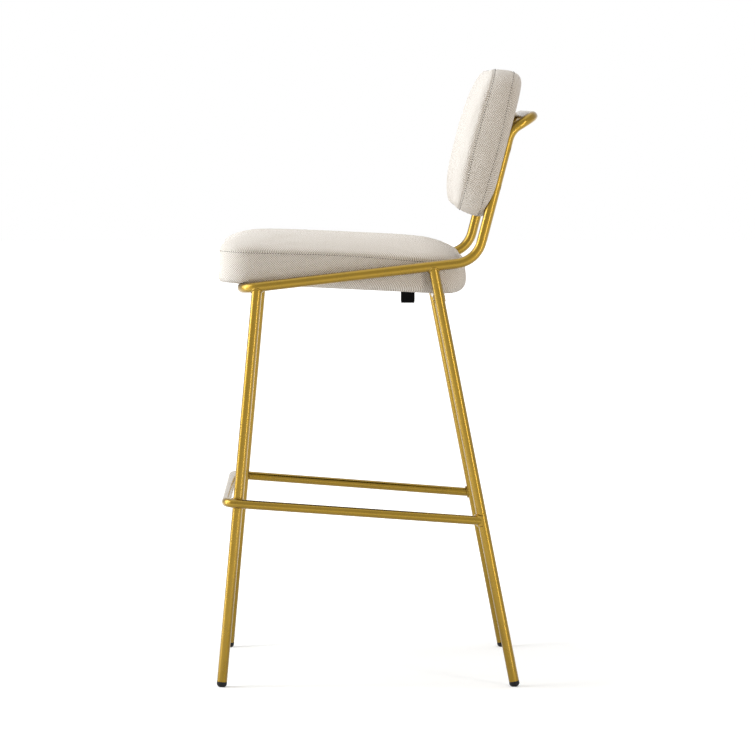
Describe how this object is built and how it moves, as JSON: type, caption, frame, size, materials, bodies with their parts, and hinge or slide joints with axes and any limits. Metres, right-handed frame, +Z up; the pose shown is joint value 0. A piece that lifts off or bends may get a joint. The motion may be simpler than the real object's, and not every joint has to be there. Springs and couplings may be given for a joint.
{
  "type": "bar stool",
  "caption": "Bar stool with a bent steel tube frame, a tubular footrest, a crowned upholstered seat and an upholstered backrest with a grab bar behind it.",
  "frame": {"origin": "on the floor, under the middle of the stool's outline", "axes": "+Z up, +Y to the rear of the stool, +X to the sitter's left"},
  "size_m": [0.5064, 0.5639, 1.0844],
  "materials": {
    "brass_lacquer": "satin",
    "zinc_steel": "satin",
    "cover_fabric": "matte",
    "foam": "matte",
    "plywood": "matte",
    "black_cloth": "matte",
    "black_plastic": "satin",
    "brass_plastic": "satin"
  },
  "bodies": {
    "root": {"upper_frame_tube": "brass_lacquer", "frame_closing_sleeve": "zinc_steel", "frame_closing_weld": "brass_lacquer", "rear_seat_bar": "brass_lacquer", "footrest_tube": "brass_lacquer", "leg_welds": "brass_lacquer", "footrest_front_welds": "brass_lacquer", "footrest_rear_welds": "brass_lacquer", "rear_seat_bar_welds": "brass_lacquer", "seat_board": "plywood", "seat_foam": "foam", "seat_top_cover": "cover_fabric", "seat_side_cover": "cover_fabric", "seat_dust_cover": "black_cloth", "seat_staples": "zinc_steel", "seat_tee_nuts": "zinc_steel", "seat_screws": "zinc_steel", "seat_saddle_washers": "zinc_steel", "side_tag": "black_cloth", "back_board": "plywood", "back_foam": "foam", "back_front_cover": "cover_fabric", "back_side_cover": "cover_fabric", "back_rear_cover": "cover_fabric", "back_tee_nuts": "zinc_steel", "back_screws": "zinc_steel", "back_hole_plugs": "brass_plastic", "front_left_leg": "brass_lacquer", "front_left_glide": "black_plastic", "front_right_leg": "brass_lacquer", "front_right_glide": "black_plastic", "rear_left_leg": "brass_lacquer", "rear_left_glide": "black_plastic", "rear_right_leg": "brass_lacquer", "rear_right_glide": "black_plastic"}
  },
  "joints": []
}
